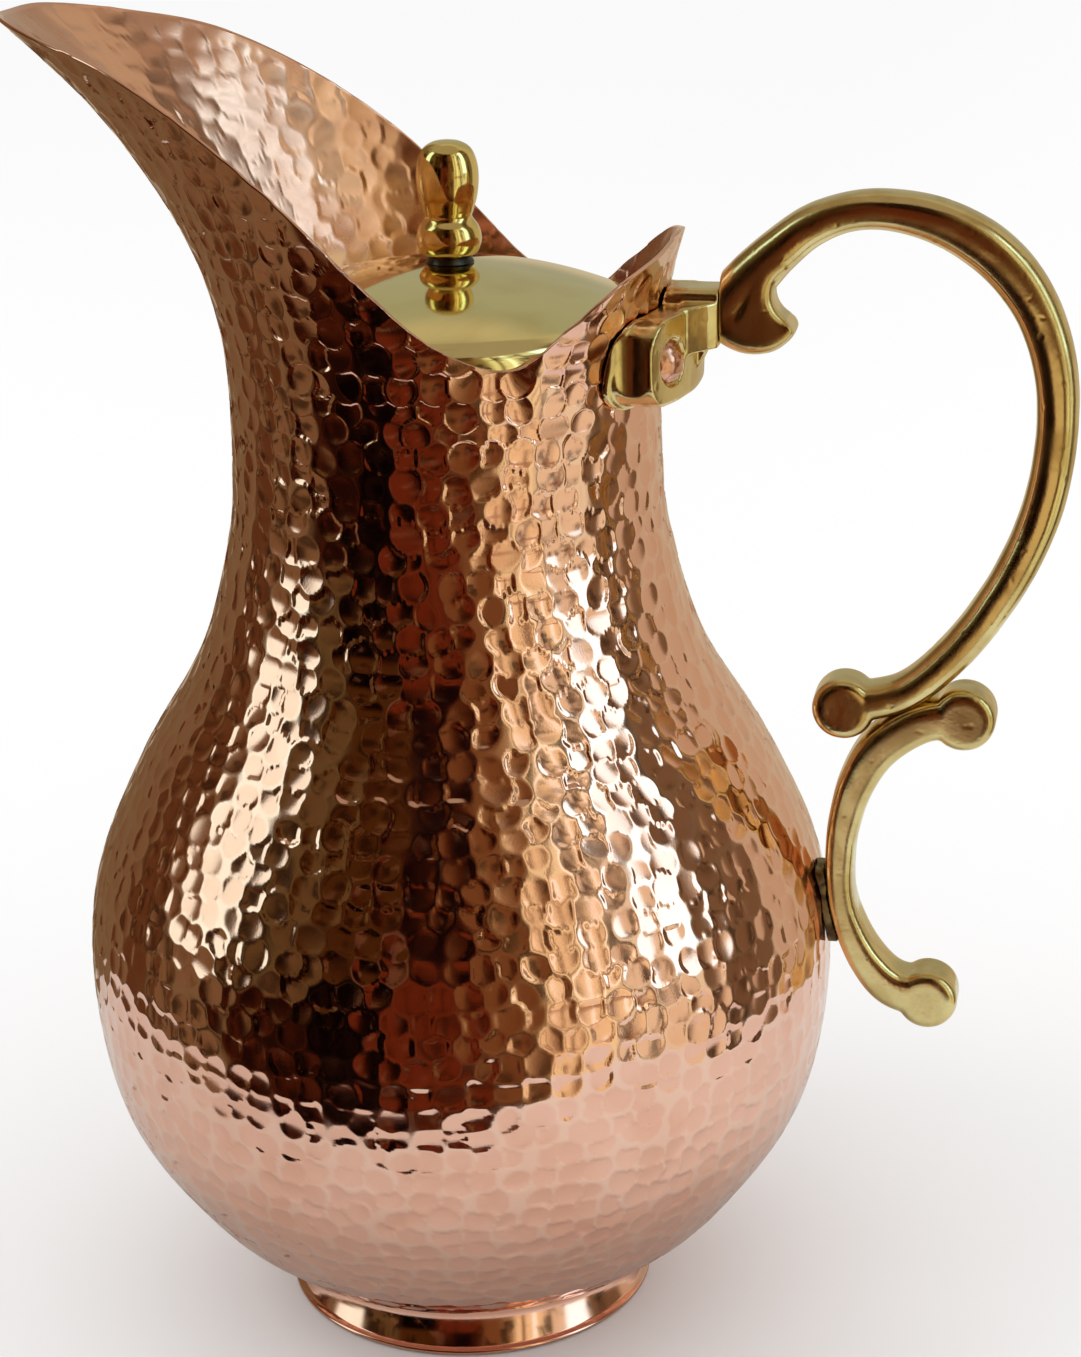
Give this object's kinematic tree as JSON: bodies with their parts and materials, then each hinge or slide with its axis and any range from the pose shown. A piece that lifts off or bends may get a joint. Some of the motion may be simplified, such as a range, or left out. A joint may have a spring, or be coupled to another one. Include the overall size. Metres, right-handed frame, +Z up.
{
  "type": "water jug",
  "caption": "Hammered copper water jug with a long open spout, a cast brass double-scroll handle and a loose domed brass lid with a turned knob.",
  "frame": {"origin": "centre of the foot's bottom plane, on the vessel's vertical axis", "axes": "+Z up along the vessel's axis, +X towards the handle, -X towards the spout; the jug is symmetric about the plane y = 0"},
  "size_m": [0.2168, 0.1606, 0.2799],
  "materials": {
    "copper": "hammered and polished copper",
    "cast_brass": "cast and polished brass",
    "sheet_brass": "mirror-polished sheet brass",
    "turned_brass": "turned and polished brass",
    "steel": "darkened steel"
  },
  "bodies": {
    "jug": {"body": "copper", "foot_ring": "copper", "top_bracket": "cast_brass", "upper_rivets": "copper", "handle_upper_scroll": "cast_brass", "handle_lower_scroll": "cast_brass", "lower_pad": "cast_brass", "lower_rivet": "copper"},
    "lid": {"lid_dome": "sheet_brass", "knob": "turned_brass", "knob_washer": "steel", "knob_screw": "turned_brass", "screw_washer": "sheet_brass"}
  },
  "joints": [
    {"name": "lid_lift", "type": "slide", "parent": "jug", "child": "lid", "axis": [0, 0, 1], "range_m": [0, 0.1]}
  ]
}
